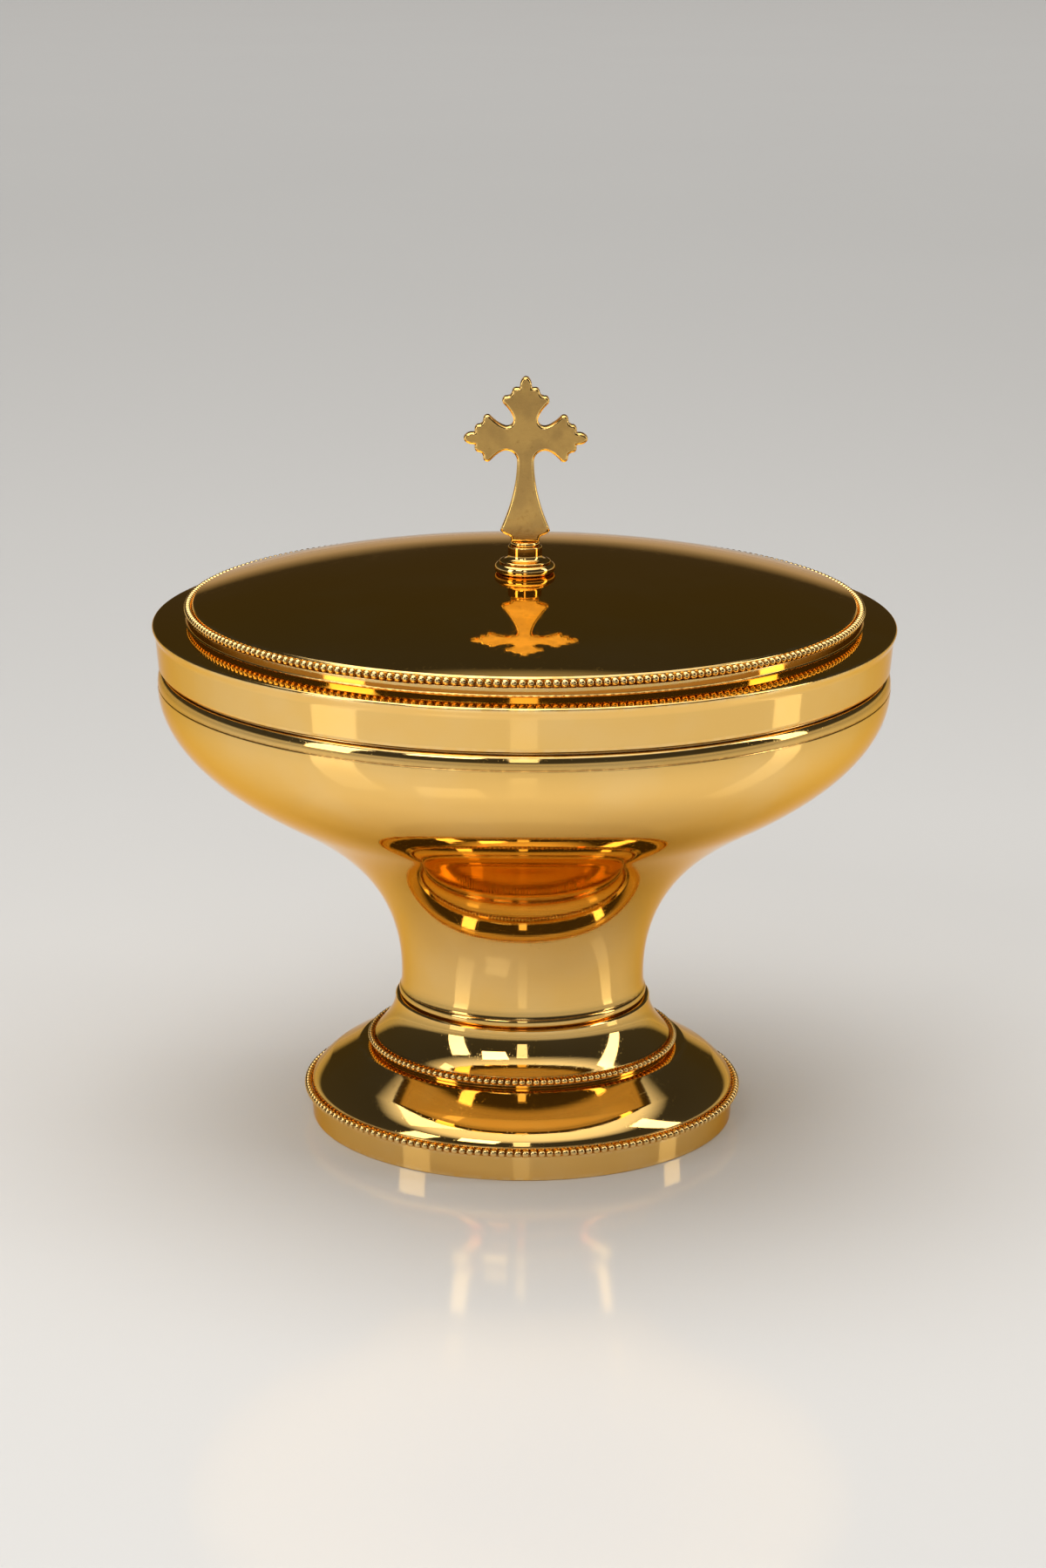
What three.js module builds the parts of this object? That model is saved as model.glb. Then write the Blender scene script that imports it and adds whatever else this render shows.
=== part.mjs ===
// A covered ciborium of gilt brass: a wide bowl on a low foot, with a lift-off lid and a cross.
// Millimetres, +Z up. The origin is the centre of the foot's underside and the cross faces -Y.
// Every height belongs to one piece, and the pieces are stacked from the floor up.
// The radii of the stem and foot step outwards from the neck, those of the lid inwards from the lip.
import * as THREE from "three";

// Foot: a plinth with a ledge inside its top, and a dome that stands on it
const PLINTH_HEIGHT = 7.9;
const PLINTH_PROUD = 0.3;
const PLINTH_TAPER = 0.4;
const PLINTH_LEDGE = 4;
const FOOT_WALL = 1;
const DOME_HEIGHT = 9.2;
const DOME_WIDTH = 11.4;
const DOME_FLANK_ANGLE = 33;
const DOME_FLANK_PULL = 5.6;
const DOME_HEM_PULL = 2.4;

// Drum between foot and bowl
const DRUM_HEIGHT = 12.2;
const DRUM_WALL = 1;
const DRUM_PLATE = 1.2;
const DRUM_STEP_HEIGHT = 0.8;
const DRUM_STEP_WIDTH = 0.6;
const DRUM_FLARE_WIDTH = 5.5;
const DRUM_FLARE_PULL = 4.8;
const DRUM_WALL_PULL = 3;
const DRUM_LEDGE = 3;
const DRUM_TOP_PROUD = 0.3;
const DRUM_TOP_CHAMFER = 0.4;

// Turned ring under the neck
const NECK_RING_HEIGHT = 2.1;
const NECK_RING_PROUD = 0.8;
const NECK_RING_WIDTH = 7.8;

// Bowl: its side is two cubic curves that meet at the flare, below the belly
const BOWL_HEIGHT = 78;
const BOWL_WALL = 1;
const NECK_RADIUS = 28.6;
const NECK_SPREAD = 0.4;
const NECK_SPREAD_HEIGHT = 3;
const NECK_PULL = 20.4;
const NECK_HEM_WIDTH = 6;
const FLARE_RADIUS = 58.6;
const FLARE_DROP = 33.2;
const FLARE_ANGLE = 29.7;
const FLARE_PULL_DOWN = 20.5;
const FLARE_PULL_UP = 9.4;
const LIP_RADIUS = 84.6;
const LIP_HEIGHT = 3.4;
const LIP_PULL = 14.5;
const LIP_ROUNDING = 0.7;
const LINER_WALL = 0.8;
const LINER_DEPTH = 16.4;
const LINER_FLOOR_RADIUS = 19;
const LINER_EDGE_PULL = 21;

// Lid rim: an upright band, a swelling edge, a flat shelf and an upstand under the beads
const RIM_WALL = 1.2;
const BAND_PROUD = 0.6;
const BAND_HEIGHT = 7.3;
const BAND_TAPER = 0.5;
const BAND_CHAMFER = 0.6;
const SWELL_WIDTH = 0.8;
const SWELL_HEIGHT = 1.9;
const RIM_ROUNDING = 1.8;
const SHELF_WIDTH = 8;
const SHELF_COVE = 0.4;
const UPSTAND_WALL = 0.9;
const UPSTAND_HEIGHT = 1.6;
const LOCATING_WALL = 0.9;
const LOCATING_DEPTH = 4;

// Lid top
const LID_WALL = 0.9;
const LID_FOOT_WIDTH = 2.3;
const LID_CROWN = 6.4;
const LID_CROWN_POWER = 3.5;
const SHOULDER_ROUNDING = 0.35;
const SHOULDER_LIFT = 0.2;

// Beaded wires
const LID_BEAD = 1.82;
const FOOT_BEAD = 1.82;
const DRUM_BEAD = 1.64;
const BEAD_DEPTH = 1.75;
const NOTCH_DEPTH = 0.75;

// Finial collar: a round base moulding, a thin step, a hollow and a short stem
const COLLAR_STEM_RADIUS = 3.9;
const COLLAR_STEM_HEIGHT = 2.6;
const COLLAR_HOLLOW_HEIGHT = 0.8;
const COLLAR_HOLLOW_WIDTH = 0.9;
const COLLAR_STEP_WIDTH = 1.05;
const COLLAR_STEP_HEIGHT = 0.8;
const COLLAR_ROLL_WIDTH = 1.15;
const COLLAR_ROLL_HEIGHT = 2.1;
const COLLAR_CHAMFER = 0.3;

// Cross: three equal arms with lobed ends, and a flared shaft with shoulders over its tenon
const CROSS_THICKNESS = 2.9;
const CROSS_BEVEL = 0.5;
const ARM_LENGTH = 14.2;
const ARM_WAIST = 2.8;
const NOTCH_RADIUS = 1.5;
const ARCH_RADIUS = 2.5;
const TIP_LOBE_RADIUS = 1.35;
const SIDE_LOBE_RADIUS = 1.05;
const CORNER_LOBE_RADIUS = 1;
const SIDE_LOBE_SETBACK = 3.6;
const SIDE_LOBE_REACH = 2.15;
const CORNER_LOBE_SETBACK = 5.45;
const CORNER_LOBE_REACH = 4.4;
const LOBE_NICK = 0.25;
const SHAFT_LENGTH = 21.3;
const SHAFT_WAIST = 1.95;
const SHAFT_FOOT = 5.8;
const SHAFT_PULL_TOP = 5.9;
const SHAFT_PULL_FOOT = 4.9;
const SHAFT_FOOT_ANGLE = 65;
const SHOULDER_HEIGHT = 2.4;
const TENON_LENGTH = 1.3;
const TENON_WIDTH = 6.6;

// Fastenings
const STUD_RADIUS = 1.4;
const STUD_OVERRUN = 0.8;
const LID_NUT_WIDTH = 5.5;
const LID_NUT_HEIGHT = 2.4;
const LID_WASHER_RADIUS = 4.5;
const LID_WASHER_HEIGHT = 1;
const ROD_RADIUS = 3;
const ROD_OVERRUN = 1.2;
const ROD_HEAD_WIDTH = 10;
const ROD_HEAD_HEIGHT = 4;
const FOOT_NUT_WIDTH = 10;
const FOOT_NUT_HEIGHT = 5;
const FOOT_WASHER_RADIUS = 16;
const FOOT_WASHER_HEIGHT = 1.5;
const NECK_PLATE_HEIGHT = 2;

// Clearances
const BORE_GAP = 0.25;
const BEAD_GAP = 0.1;
const WALL_GAP = 0.3;
const LID_GAP = 0.3;
const LOCATING_GAP = 0.5;
const NECK_PLATE_GAP = 1.2;

// Facets round the turned pieces
const BOWL_FACETS = 36;
const FOOT_FACETS = 28;
const SMALL_FACETS = 16;

// Heights, stacked from the floor
const domeSeat = PLINTH_HEIGHT;
const drumSeat = domeSeat + DOME_HEIGHT;
const neckRingSeat = drumSeat + DRUM_HEIGHT;
const bowlSeat = neckRingSeat + NECK_RING_HEIGHT;
const lipTop = bowlSeat + BOWL_HEIGHT;
const lidSeat = lipTop + LID_GAP;
const rimTop = lidSeat + BAND_HEIGHT + SWELL_HEIGHT + RIM_ROUNDING;
const shelfUnderside = rimTop - RIM_WALL;
const lidBeadSeat = rimTop + UPSTAND_HEIGHT;
const shoulderTop = lidBeadSeat + LID_BEAD + SHOULDER_LIFT;
const lidTop = shoulderTop + LID_CROWN;
const stepTop = lidTop + COLLAR_ROLL_HEIGHT + COLLAR_STEP_HEIGHT;
const collarTop = stepTop + COLLAR_HOLLOW_HEIGHT + COLLAR_STEM_HEIGHT;
const shaftDrop = SHAFT_LENGTH + SHOULDER_HEIGHT + TENON_LENGTH;
const crossCentre = collarTop + shaftDrop;

// Radii of stem and foot, from the neck outwards
const neckBase = NECK_RADIUS + NECK_SPREAD;
const neckRingRadius = neckBase + NECK_RING_PROUD;
const drumTopRadius = neckRingRadius + DRUM_TOP_PROUD;
const drumBaseRadius = drumTopRadius + DRUM_FLARE_WIDTH;
const domeTopRadius = drumBaseRadius + DRUM_LEDGE;
const hemRadius = domeTopRadius + DOME_WIDTH;
const plinthRadius = hemRadius + PLINTH_PROUD;
const neckPlateRadius = NECK_RADIUS - BOWL_WALL - NECK_PLATE_GAP;

// Radii of liner and lid, from the lip inwards
const linerRadius = LIP_RADIUS - BOWL_WALL - WALL_GAP;
const locatingRadius = linerRadius - LINER_WALL - LOCATING_GAP;
const bandRadius = LIP_RADIUS + BAND_PROUD;
const rimRadius = bandRadius + SWELL_WIDTH;
const upstandRadius = rimRadius - SHELF_WIDTH;
const upstandBore = upstandRadius - UPSTAND_WALL;
const lidWallRadius = upstandBore - WALL_GAP;

// Radii of the finial's collar, from its stem outwards
const hollowRadius = COLLAR_STEM_RADIUS + COLLAR_HOLLOW_WIDTH;
const stepRadius = hollowRadius + COLLAR_STEP_WIDTH;
const rollRadius = stepRadius + COLLAR_ROLL_WIDTH;

// Bores for the stud and the tie rod
const studBore = STUD_RADIUS + BORE_GAP;
const rodBore = ROD_RADIUS + BORE_GAP;

function metal(color, roughness) {
  return new THREE.MeshStandardMaterial({ color, roughness, metalness: 1 });
}

const polishedGilt = metal(0xe2b057, 0.06);
const beadGilt = metal(0xd9a64e, 0.14);
const castGilt = metal(0xc9963f, 0.26);
const innerGilt = metal(0xe6bd6c, 0.22);
const brass = metal(0xb18b46, 0.38);
const steel = metal(0xb4b2ac, 0.35);

const ciborium = new THREE.Group();

function add(name, geometry, material) {
  const mesh = new THREE.Mesh(geometry, material);
  mesh.name = name;
  ciborium.add(mesh);
}

// Points along a cubic curve, from its first point to its last.
function cubic(start, firstPull, lastPull, end, steps) {
  const controls = [start, firstPull, lastPull, end].map((point) => new THREE.Vector2(...point));
  const curve = new THREE.CubicBezierCurve(...controls);
  return curve.getPoints(steps).map((point) => [point.x, point.y]);
}

// Points round a centre, from one angle to another, in degrees.
function arc(centre, radius, from, to, steps) {
  const points = [];
  for (let step = 0; step <= steps; step += 1) {
    const angle = THREE.MathUtils.degToRad(from + ((to - from) * step) / steps);
    points.push([centre[0] + radius * Math.cos(angle), centre[1] + radius * Math.sin(angle)]);
  }
  return points;
}

// The same line moved to its left, as the inner face of a sheet follows the outer one.
function offset(points, distance) {
  return points.map((point, index) => {
    const before = points[Math.max(index - 1, 0)];
    const after = points[Math.min(index + 1, points.length - 1)];
    const run = [after[0] - before[0], after[1] - before[1]];
    const share = distance / Math.hypot(...run);
    return [point[0] - run[1] * share, point[1] + run[0] * share];
  });
}

// A turned or spun piece. Its outline [radius, height] runs up the outside and down the inside.
function turned(name, outline, material, facets) {
  const startsOnAxis = outline[0][0] === 0;
  const closed = startsOnAxis ? outline : [...outline, outline[0]];
  const profile = closed.map(([radius, height]) => new THREE.Vector2(radius, height));
  const geometry = new THREE.LatheGeometry(profile, facets);
  geometry.rotateX(Math.PI / 2);
  add(name, geometry, material);
}

// A flat round piece with a bore.
function disc(name, bore, radius, bottom, height, material) {
  turned(name, [
    [bore, bottom],
    [radius, bottom],
    [radius, bottom + height],
    [bore, bottom + height],
  ], material, SMALL_FACETS);
}

// A hexagon nut with a bore.
function nut(name, width, bore, bottom, height) {
  const corners = arc([0, 0], width / Math.sqrt(3), 0, 300, 5);
  const shape = new THREE.Shape(corners.map((corner) => new THREE.Vector2(...corner)));
  const hole = new THREE.Path();
  hole.absarc(0, 0, bore, 0, 2 * Math.PI, true);
  shape.holes.push(hole);
  const geometry = new THREE.ExtrudeGeometry(shape, {
    depth: height,
    bevelEnabled: false,
    curveSegments: SMALL_FACETS / 2,
  });
  geometry.translate(0, 0, bottom);
  add(name, geometry, steel);
}

// A wire of touching beads with a flat back against its seat's wall.
// Each bead rises to a point from six corners: two notches, one on either side of it,
// have a corner at the bottom, in front and at the top.
function beadedWire(name, wallRadius, bottom, bead) {
  const back = wallRadius + BEAD_GAP;
  const count = Math.round((2 * Math.PI * (back + BEAD_DEPTH / 2)) / bead);
  const step = (2 * Math.PI) / count;
  const middle = bottom + bead / 2;
  const positions = [];
  const faces = [];
  function corner(radius, angle, height) {
    positions.push(radius * Math.cos(angle), radius * Math.sin(angle), height);
  }
  for (let index = 0; index < count; index += 1) {
    corner(back, index * step, bottom);
    corner(back + NOTCH_DEPTH, index * step, middle);
    corner(back, index * step, bottom + bead);
    corner(back + BEAD_DEPTH, (index + 0.5) * step, middle);
    const here = index * 4;
    const next = ((index + 1) % count) * 4;
    const peak = here + 3;
    const base = [here, next, next + 1, next + 2, here + 2, here + 1];
    base.forEach((start, side) => faces.push(start, base[(side + 1) % base.length], peak));
    faces.push(here, here + 2, next + 2);
    faces.push(here, next + 2, next);
  }
  const geometry = new THREE.BufferGeometry();
  geometry.setAttribute("position", new THREE.Float32BufferAttribute(positions, 3));
  geometry.setIndex(faces);
  geometry.computeVertexNormals();
  add(name, geometry, beadGilt);
}

function footPlinth() {
  const baseRadius = plinthRadius - PLINTH_TAPER;
  const beadSeat = domeSeat - FOOT_BEAD;
  const wallRadius = hemRadius - FOOT_WALL;
  const ledgeBore = wallRadius - PLINTH_LEDGE;
  turned("foot_plinth", [
    [baseRadius - FOOT_WALL, 0],
    [baseRadius, 0],
    [plinthRadius, beadSeat],
    [hemRadius, beadSeat],
    [hemRadius, domeSeat],
    [ledgeBore, domeSeat],
    [ledgeBore, domeSeat - FOOT_WALL],
    [wallRadius, domeSeat - FOOT_WALL],
  ], polishedGilt, FOOT_FACETS);
  beadedWire("foot_bead_ring", hemRadius, beadSeat, FOOT_BEAD);
}

// The dome rises from its hem in a round shoulder and runs up a straight flank to the flat top.
function footDome() {
  const slope = THREE.MathUtils.degToRad(DOME_FLANK_ANGLE);
  const side = cubic(
    [hemRadius, domeSeat],
    [hemRadius, domeSeat + DOME_HEM_PULL],
    [domeTopRadius + DOME_FLANK_PULL * Math.cos(slope), drumSeat - DOME_FLANK_PULL * Math.sin(slope)],
    [domeTopRadius, drumSeat],
    5,
  );
  const inside = offset(side, FOOT_WALL);
  inside[0][1] = domeSeat;
  inside[inside.length - 1][1] = drumSeat - FOOT_WALL;
  turned("foot_dome", [
    ...side,
    [rodBore, drumSeat],
    [rodBore, drumSeat - FOOT_WALL],
    ...inside.reverse(),
  ], polishedGilt, FOOT_FACETS);
}

// The drum has a step for its beads, a flare and a nearly upright wall under a flat top.
function footDrum() {
  const beadSeat = drumSeat + DRUM_STEP_HEIGHT;
  const flareFoot = beadSeat + DRUM_BEAD;
  const flareRadius = drumBaseRadius - DRUM_STEP_WIDTH;
  const wallTop = neckRingSeat - DRUM_TOP_CHAMFER;
  const wall = cubic(
    [flareRadius, flareFoot],
    [flareRadius - DRUM_FLARE_PULL / Math.SQRT2, flareFoot + DRUM_FLARE_PULL / Math.SQRT2],
    [drumTopRadius, wallTop - DRUM_WALL_PULL],
    [drumTopRadius, wallTop],
    5,
  );
  const inside = offset(wall, DRUM_WALL);
  inside[inside.length - 1][1] = neckRingSeat - DRUM_PLATE;
  turned("foot_drum", [
    [flareRadius - DRUM_WALL, drumSeat],
    [drumBaseRadius, drumSeat],
    [drumBaseRadius, beadSeat],
    [flareRadius, beadSeat],
    ...wall,
    [drumTopRadius - DRUM_TOP_CHAMFER, neckRingSeat],
    [rodBore, neckRingSeat],
    [rodBore, neckRingSeat - DRUM_PLATE],
    ...inside.reverse(),
  ], polishedGilt, FOOT_FACETS);
  beadedWire("drum_bead_ring", flareRadius, beadSeat, DRUM_BEAD);
}

function neckRing() {
  const bore = neckRingRadius - NECK_RING_WIDTH;
  const crest = neckRingSeat + NECK_RING_HEIGHT / 2;
  turned("neck_ring", [
    [bore, neckRingSeat],
    [neckRingRadius - NECK_RING_PROUD / 2, neckRingSeat],
    [neckRingRadius, crest],
    [neckBase, bowlSeat],
    [bore, bowlSeat],
  ], polishedGilt, FOOT_FACETS);
}

// The bowl's outside in two curves: from the neck up to the flare, and from there to the lip.
function bowlCurves() {
  const lean = THREE.MathUtils.degToRad(FLARE_ANGLE);
  const flare = [FLARE_RADIUS, lipTop - FLARE_DROP];
  const neck = [NECK_RADIUS, bowlSeat + NECK_SPREAD_HEIGHT];
  const lip = [LIP_RADIUS, lipTop - LIP_HEIGHT];
  const alongFlare = (pull) => [flare[0] + pull * Math.cos(lean), flare[1] + pull * Math.sin(lean)];
  return {
    lower: cubic(neck, [neck[0], neck[1] + NECK_PULL], alongFlare(-FLARE_PULL_DOWN), flare, 5),
    upper: cubic(flare, alongFlare(FLARE_PULL_UP), [lip[0], lip[1] - LIP_PULL], lip, 5),
  };
}

function bowlShell() {
  const { lower, upper } = bowlCurves();
  const side = [...lower, ...upper.slice(1)];
  const hemBore = neckBase - NECK_HEM_WIDTH;
  turned("bowl_shell", [
    [hemBore, bowlSeat],
    [neckBase, bowlSeat],
    ...side,
    [LIP_RADIUS, lipTop - LIP_ROUNDING],
    [LIP_RADIUS - LIP_ROUNDING, lipTop],
    [LIP_RADIUS - BOWL_WALL, lipTop],
    ...offset(side, BOWL_WALL).reverse(),
    [neckBase - BOWL_WALL, bowlSeat + BOWL_WALL],
    [hemBore, bowlSeat + BOWL_WALL],
  ], polishedGilt, BOWL_FACETS);
}

// The liner holds the hosts. It lies along the shell down to the flare and has a shallow floor.
function bowlLiner() {
  const wall = offset(bowlCurves().upper, BOWL_WALL + WALL_GAP);
  const edge = wall[0];
  const lean = THREE.MathUtils.degToRad(FLARE_ANGLE);
  const floorHeight = edge[1] - LINER_DEPTH;
  const floor = cubic(
    [0, floorHeight],
    [LINER_FLOOR_RADIUS, floorHeight],
    [edge[0] - LINER_EDGE_PULL * Math.cos(lean), edge[1] - LINER_EDGE_PULL * Math.sin(lean)],
    edge,
    4,
  );
  const outside = [...floor, ...wall.slice(1)];
  const inside = offset(outside, LINER_WALL);
  inside[0] = [0, floorHeight + LINER_WALL];
  turned("bowl_liner", [
    ...outside,
    [linerRadius, lipTop],
    [linerRadius - LINER_WALL, lipTop],
    ...inside.reverse(),
  ], innerGilt, BOWL_FACETS);
}

// A tie rod and its fittings clamp foot, drum, ring and bowl together.
function stemFastenings() {
  const plateSeat = bowlSeat + BOWL_WALL;
  const headSeat = plateSeat + NECK_PLATE_HEIGHT;
  const washerBottom = drumSeat - FOOT_WALL - FOOT_WASHER_HEIGHT;
  const nutBottom = washerBottom - FOOT_NUT_HEIGHT;
  const rodBottom = nutBottom - ROD_OVERRUN;
  disc("neck_plate", rodBore, neckPlateRadius, plateSeat, NECK_PLATE_HEIGHT, brass);
  disc("foot_washer", rodBore, FOOT_WASHER_RADIUS, washerBottom, FOOT_WASHER_HEIGHT, brass);
  nut("foot_nut", FOOT_NUT_WIDTH, rodBore, nutBottom, FOOT_NUT_HEIGHT);
  turned("tie_rod", [
    [0, rodBottom],
    [ROD_RADIUS, rodBottom],
    [ROD_RADIUS, headSeat],
    [ROD_HEAD_WIDTH / 2, headSeat],
    [ROD_HEAD_WIDTH / 2, headSeat + ROD_HEAD_HEIGHT],
    [0, headSeat + ROD_HEAD_HEIGHT],
  ], steel, SMALL_FACETS);
}

function lidRim() {
  const bandFoot = bandRadius - BAND_TAPER;
  const roundCentre = [rimRadius - RIM_ROUNDING, rimTop - RIM_ROUNDING];
  turned("lid_rim", [
    [bandFoot - RIM_WALL, lidSeat],
    [bandFoot - BAND_CHAMFER / 2, lidSeat],
    [bandFoot, lidSeat + BAND_CHAMFER],
    [bandRadius, lidSeat + BAND_HEIGHT],
    ...arc(roundCentre, RIM_ROUNDING, 0, 90, 3),
    [upstandRadius + SHELF_COVE, rimTop],
    [upstandRadius, rimTop + SHELF_COVE],
    [upstandRadius, lidBeadSeat],
    [upstandBore, lidBeadSeat],
    [upstandBore, shelfUnderside],
    [bandRadius - RIM_WALL, shelfUnderside],
  ], polishedGilt, BOWL_FACETS);
  beadedWire("lid_bead_ring", lidWallRadius, lidBeadSeat, LID_BEAD);
}

// A ring under the shelf drops into the liner's mouth and keeps the lid centred.
function locatingRing() {
  const bottom = lipTop - LOCATING_DEPTH;
  turned("locating_ring", [
    [locatingRadius - LOCATING_WALL, bottom],
    [locatingRadius, bottom],
    [locatingRadius, shelfUnderside],
    [locatingRadius - LOCATING_WALL, shelfUnderside],
  ], innerGilt, BOWL_FACETS);
}

// The crown is nearly flat in the middle and falls towards the beads.
// Its wall ends in a foot that is turned out under the rim's shelf.
function lidCrown() {
  const shoulderRadius = lidWallRadius - SHOULDER_ROUNDING;
  const wallTop = shoulderTop - SHOULDER_ROUNDING;
  const footRadius = lidWallRadius + LID_FOOT_WIDTH;
  const inner = lidWallRadius - LID_WALL;
  const crown = [];
  const steps = 6;
  for (let step = 0; step < steps; step += 1) {
    const share = 1 - (step / steps) ** 1.5;
    const radius = rollRadius + (shoulderRadius - rollRadius) * share;
    const fall = LID_CROWN * (radius / shoulderRadius) ** LID_CROWN_POWER;
    crown.push([radius, lidTop - fall]);
  }
  crown.push([rollRadius, lidTop]);
  const under = offset(crown, LID_WALL).slice(1);
  under[under.length - 1][1] = lidTop - LID_WALL;
  turned("lid_top", [
    [inner, shelfUnderside - LID_WALL],
    [footRadius, shelfUnderside - LID_WALL],
    [footRadius, shelfUnderside],
    [lidWallRadius, shelfUnderside],
    [lidWallRadius, wallTop],
    ...crown,
    [studBore, lidTop],
    [studBore, lidTop - LID_WALL],
    ...under.reverse(),
    [inner, wallTop - LID_WALL],
  ], polishedGilt, BOWL_FACETS);
}

function finialCollar() {
  const rollTop = lidTop + COLLAR_ROLL_HEIGHT;
  const rollBite = COLLAR_ROLL_WIDTH / 2;
  turned("finial_collar", [
    [studBore, lidTop],
    [rollRadius - rollBite, lidTop],
    [rollRadius, lidTop + rollBite],
    [rollRadius, rollTop - rollBite],
    [rollRadius - rollBite, rollTop],
    [stepRadius, rollTop],
    [stepRadius, stepTop],
    [hollowRadius, stepTop],
    [COLLAR_STEM_RADIUS, stepTop + COLLAR_HOLLOW_HEIGHT],
    [COLLAR_STEM_RADIUS, collarTop - COLLAR_CHAMFER],
    [COLLAR_STEM_RADIUS - COLLAR_CHAMFER, collarTop],
    [studBore, collarTop],
  ], polishedGilt, SMALL_FACETS);
}

// The nick between two lobes lies behind the middle of the line that joins them.
function nick(before, after) {
  const start = before[before.length - 1];
  const end = after[0];
  const run = [end[0] - start[0], end[1] - start[1]];
  const share = LOBE_NICK / Math.hypot(...run);
  return [(start[0] + end[0]) / 2 + run[1] * share, (start[1] + end[1]) / 2 - run[0] * share];
}

// Half of an arm's end, [along, across], from the corner lobe round the side lobe to the tip.
function lobedHalfEnd() {
  const corner = [ARM_LENGTH - CORNER_LOBE_SETBACK, CORNER_LOBE_REACH];
  const side = [ARM_LENGTH - SIDE_LOBE_SETBACK, SIDE_LOBE_REACH];
  const tip = [ARM_LENGTH - TIP_LOBE_RADIUS, 0];
  const cornerArc = arc(corner, CORNER_LOBE_RADIUS, 130, -10, 3);
  const sideArc = arc(side, SIDE_LOBE_RADIUS, 95, -15, 2);
  const tipArc = arc(tip, TIP_LOBE_RADIUS, 110, 0, 2);
  return [...cornerArc, nick(cornerArc, sideArc), ...sideArc, nick(sideArc, tipArc), ...tipArc];
}

// The right half of the cross, from the foot of its tenon to the tip of its upper arm.
function rightHalf() {
  const half = lobedHalfEnd();
  const footAngle = THREE.MathUtils.degToRad(SHAFT_FOOT_ANGLE);
  const archCentre = [SHAFT_WAIST + ARCH_RADIUS, -ARM_WAIST - ARCH_RADIUS];
  const notchCentre = [ARM_WAIST + NOTCH_RADIUS, ARM_WAIST + NOTCH_RADIUS];
  const tenon = [
    [TENON_WIDTH / 2, -shaftDrop],
    [TENON_WIDTH / 2, TENON_LENGTH - shaftDrop],
  ];
  const footPull = [
    SHAFT_FOOT - SHAFT_PULL_FOOT * Math.cos(footAngle),
    SHAFT_PULL_FOOT * Math.sin(footAngle) - SHAFT_LENGTH,
  ];
  const topPull = [SHAFT_WAIST, archCentre[1] - SHAFT_PULL_TOP];
  const shaftTop = [SHAFT_WAIST, archCentre[1]];
  const shaft = cubic([SHAFT_FOOT, -SHAFT_LENGTH], footPull, topPull, shaftTop, 5);
  const arch = arc(archCentre, ARCH_RADIUS, 180, 75, 3).slice(1);
  const lowerEnd = half.map(([along, across]) => [along, -across]);
  const upperEnd = half.slice(0, -1).reverse();
  const notch = arc(notchCentre, NOTCH_RADIUS, 295, 155, 4);
  const topEnd = half.map(([along, across]) => [across, along]);
  return [...tenon, ...shaft, ...arch, ...lowerEnd, ...upperEnd, ...notch, ...topEnd];
}

function lidCross() {
  const right = rightHalf();
  const left = right.slice(0, -1).map(([x, y]) => [-x, y]).reverse();
  const outline = [...right, ...left].map((point) => new THREE.Vector2(...point));
  const plateDepth = CROSS_THICKNESS - 2 * CROSS_BEVEL;
  const geometry = new THREE.ExtrudeGeometry(new THREE.Shape(outline), {
    depth: plateDepth,
    bevelThickness: CROSS_BEVEL,
    bevelSize: CROSS_BEVEL,
    bevelOffset: -CROSS_BEVEL,
    bevelSegments: 1,
  });
  geometry.translate(0, 0, -plateDepth / 2);
  geometry.rotateX(Math.PI / 2);
  geometry.translate(0, 0, crossCentre);
  add("lid_cross", geometry, castGilt);
}

// A stud below the cross runs down through collar and crown to a nut inside the lid.
function finialFastenings() {
  const washerBottom = lidTop - LID_WALL - LID_WASHER_HEIGHT;
  const nutBottom = washerBottom - LID_NUT_HEIGHT;
  const studBottom = nutBottom - STUD_OVERRUN;
  disc("finial_washer", studBore, LID_WASHER_RADIUS, washerBottom, LID_WASHER_HEIGHT, brass);
  nut("finial_nut", LID_NUT_WIDTH, studBore, nutBottom, LID_NUT_HEIGHT);
  turned("finial_stud", [
    [0, studBottom],
    [STUD_RADIUS, studBottom],
    [STUD_RADIUS, collarTop],
    [0, collarTop],
  ], steel, SMALL_FACETS);
}

footPlinth();
footDome();
footDrum();
neckRing();
bowlShell();
bowlLiner();
stemFastenings();
lidRim();
locatingRing();
lidCrown();
finialCollar();
lidCross();
finialFastenings();

export default ciborium;
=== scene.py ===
"""The looks of a covered ciborium of gilt brass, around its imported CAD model.

Sizes are in millimetres and become metres where a mesh is made. A turned piece is an outline
of [radius, height] points that runs up its outside and down its inside. A third number is the
radius to which that corner is rounded.
"""

import cmath
import math

import bpy
from mathutils import Matrix, Vector


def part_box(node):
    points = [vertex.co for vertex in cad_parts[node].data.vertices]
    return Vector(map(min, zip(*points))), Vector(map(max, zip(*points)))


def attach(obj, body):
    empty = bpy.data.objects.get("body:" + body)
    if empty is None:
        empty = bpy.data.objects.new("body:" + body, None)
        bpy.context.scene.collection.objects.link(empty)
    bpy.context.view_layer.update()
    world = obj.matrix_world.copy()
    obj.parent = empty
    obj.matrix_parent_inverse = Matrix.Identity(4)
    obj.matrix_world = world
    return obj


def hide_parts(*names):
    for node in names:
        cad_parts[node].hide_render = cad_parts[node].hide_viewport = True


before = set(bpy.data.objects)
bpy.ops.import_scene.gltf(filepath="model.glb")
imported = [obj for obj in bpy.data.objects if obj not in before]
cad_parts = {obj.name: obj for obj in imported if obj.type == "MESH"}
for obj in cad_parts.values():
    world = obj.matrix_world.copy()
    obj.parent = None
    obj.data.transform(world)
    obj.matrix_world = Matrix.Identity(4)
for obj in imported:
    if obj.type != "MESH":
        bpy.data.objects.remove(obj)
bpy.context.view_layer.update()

MM = 0.001

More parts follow.
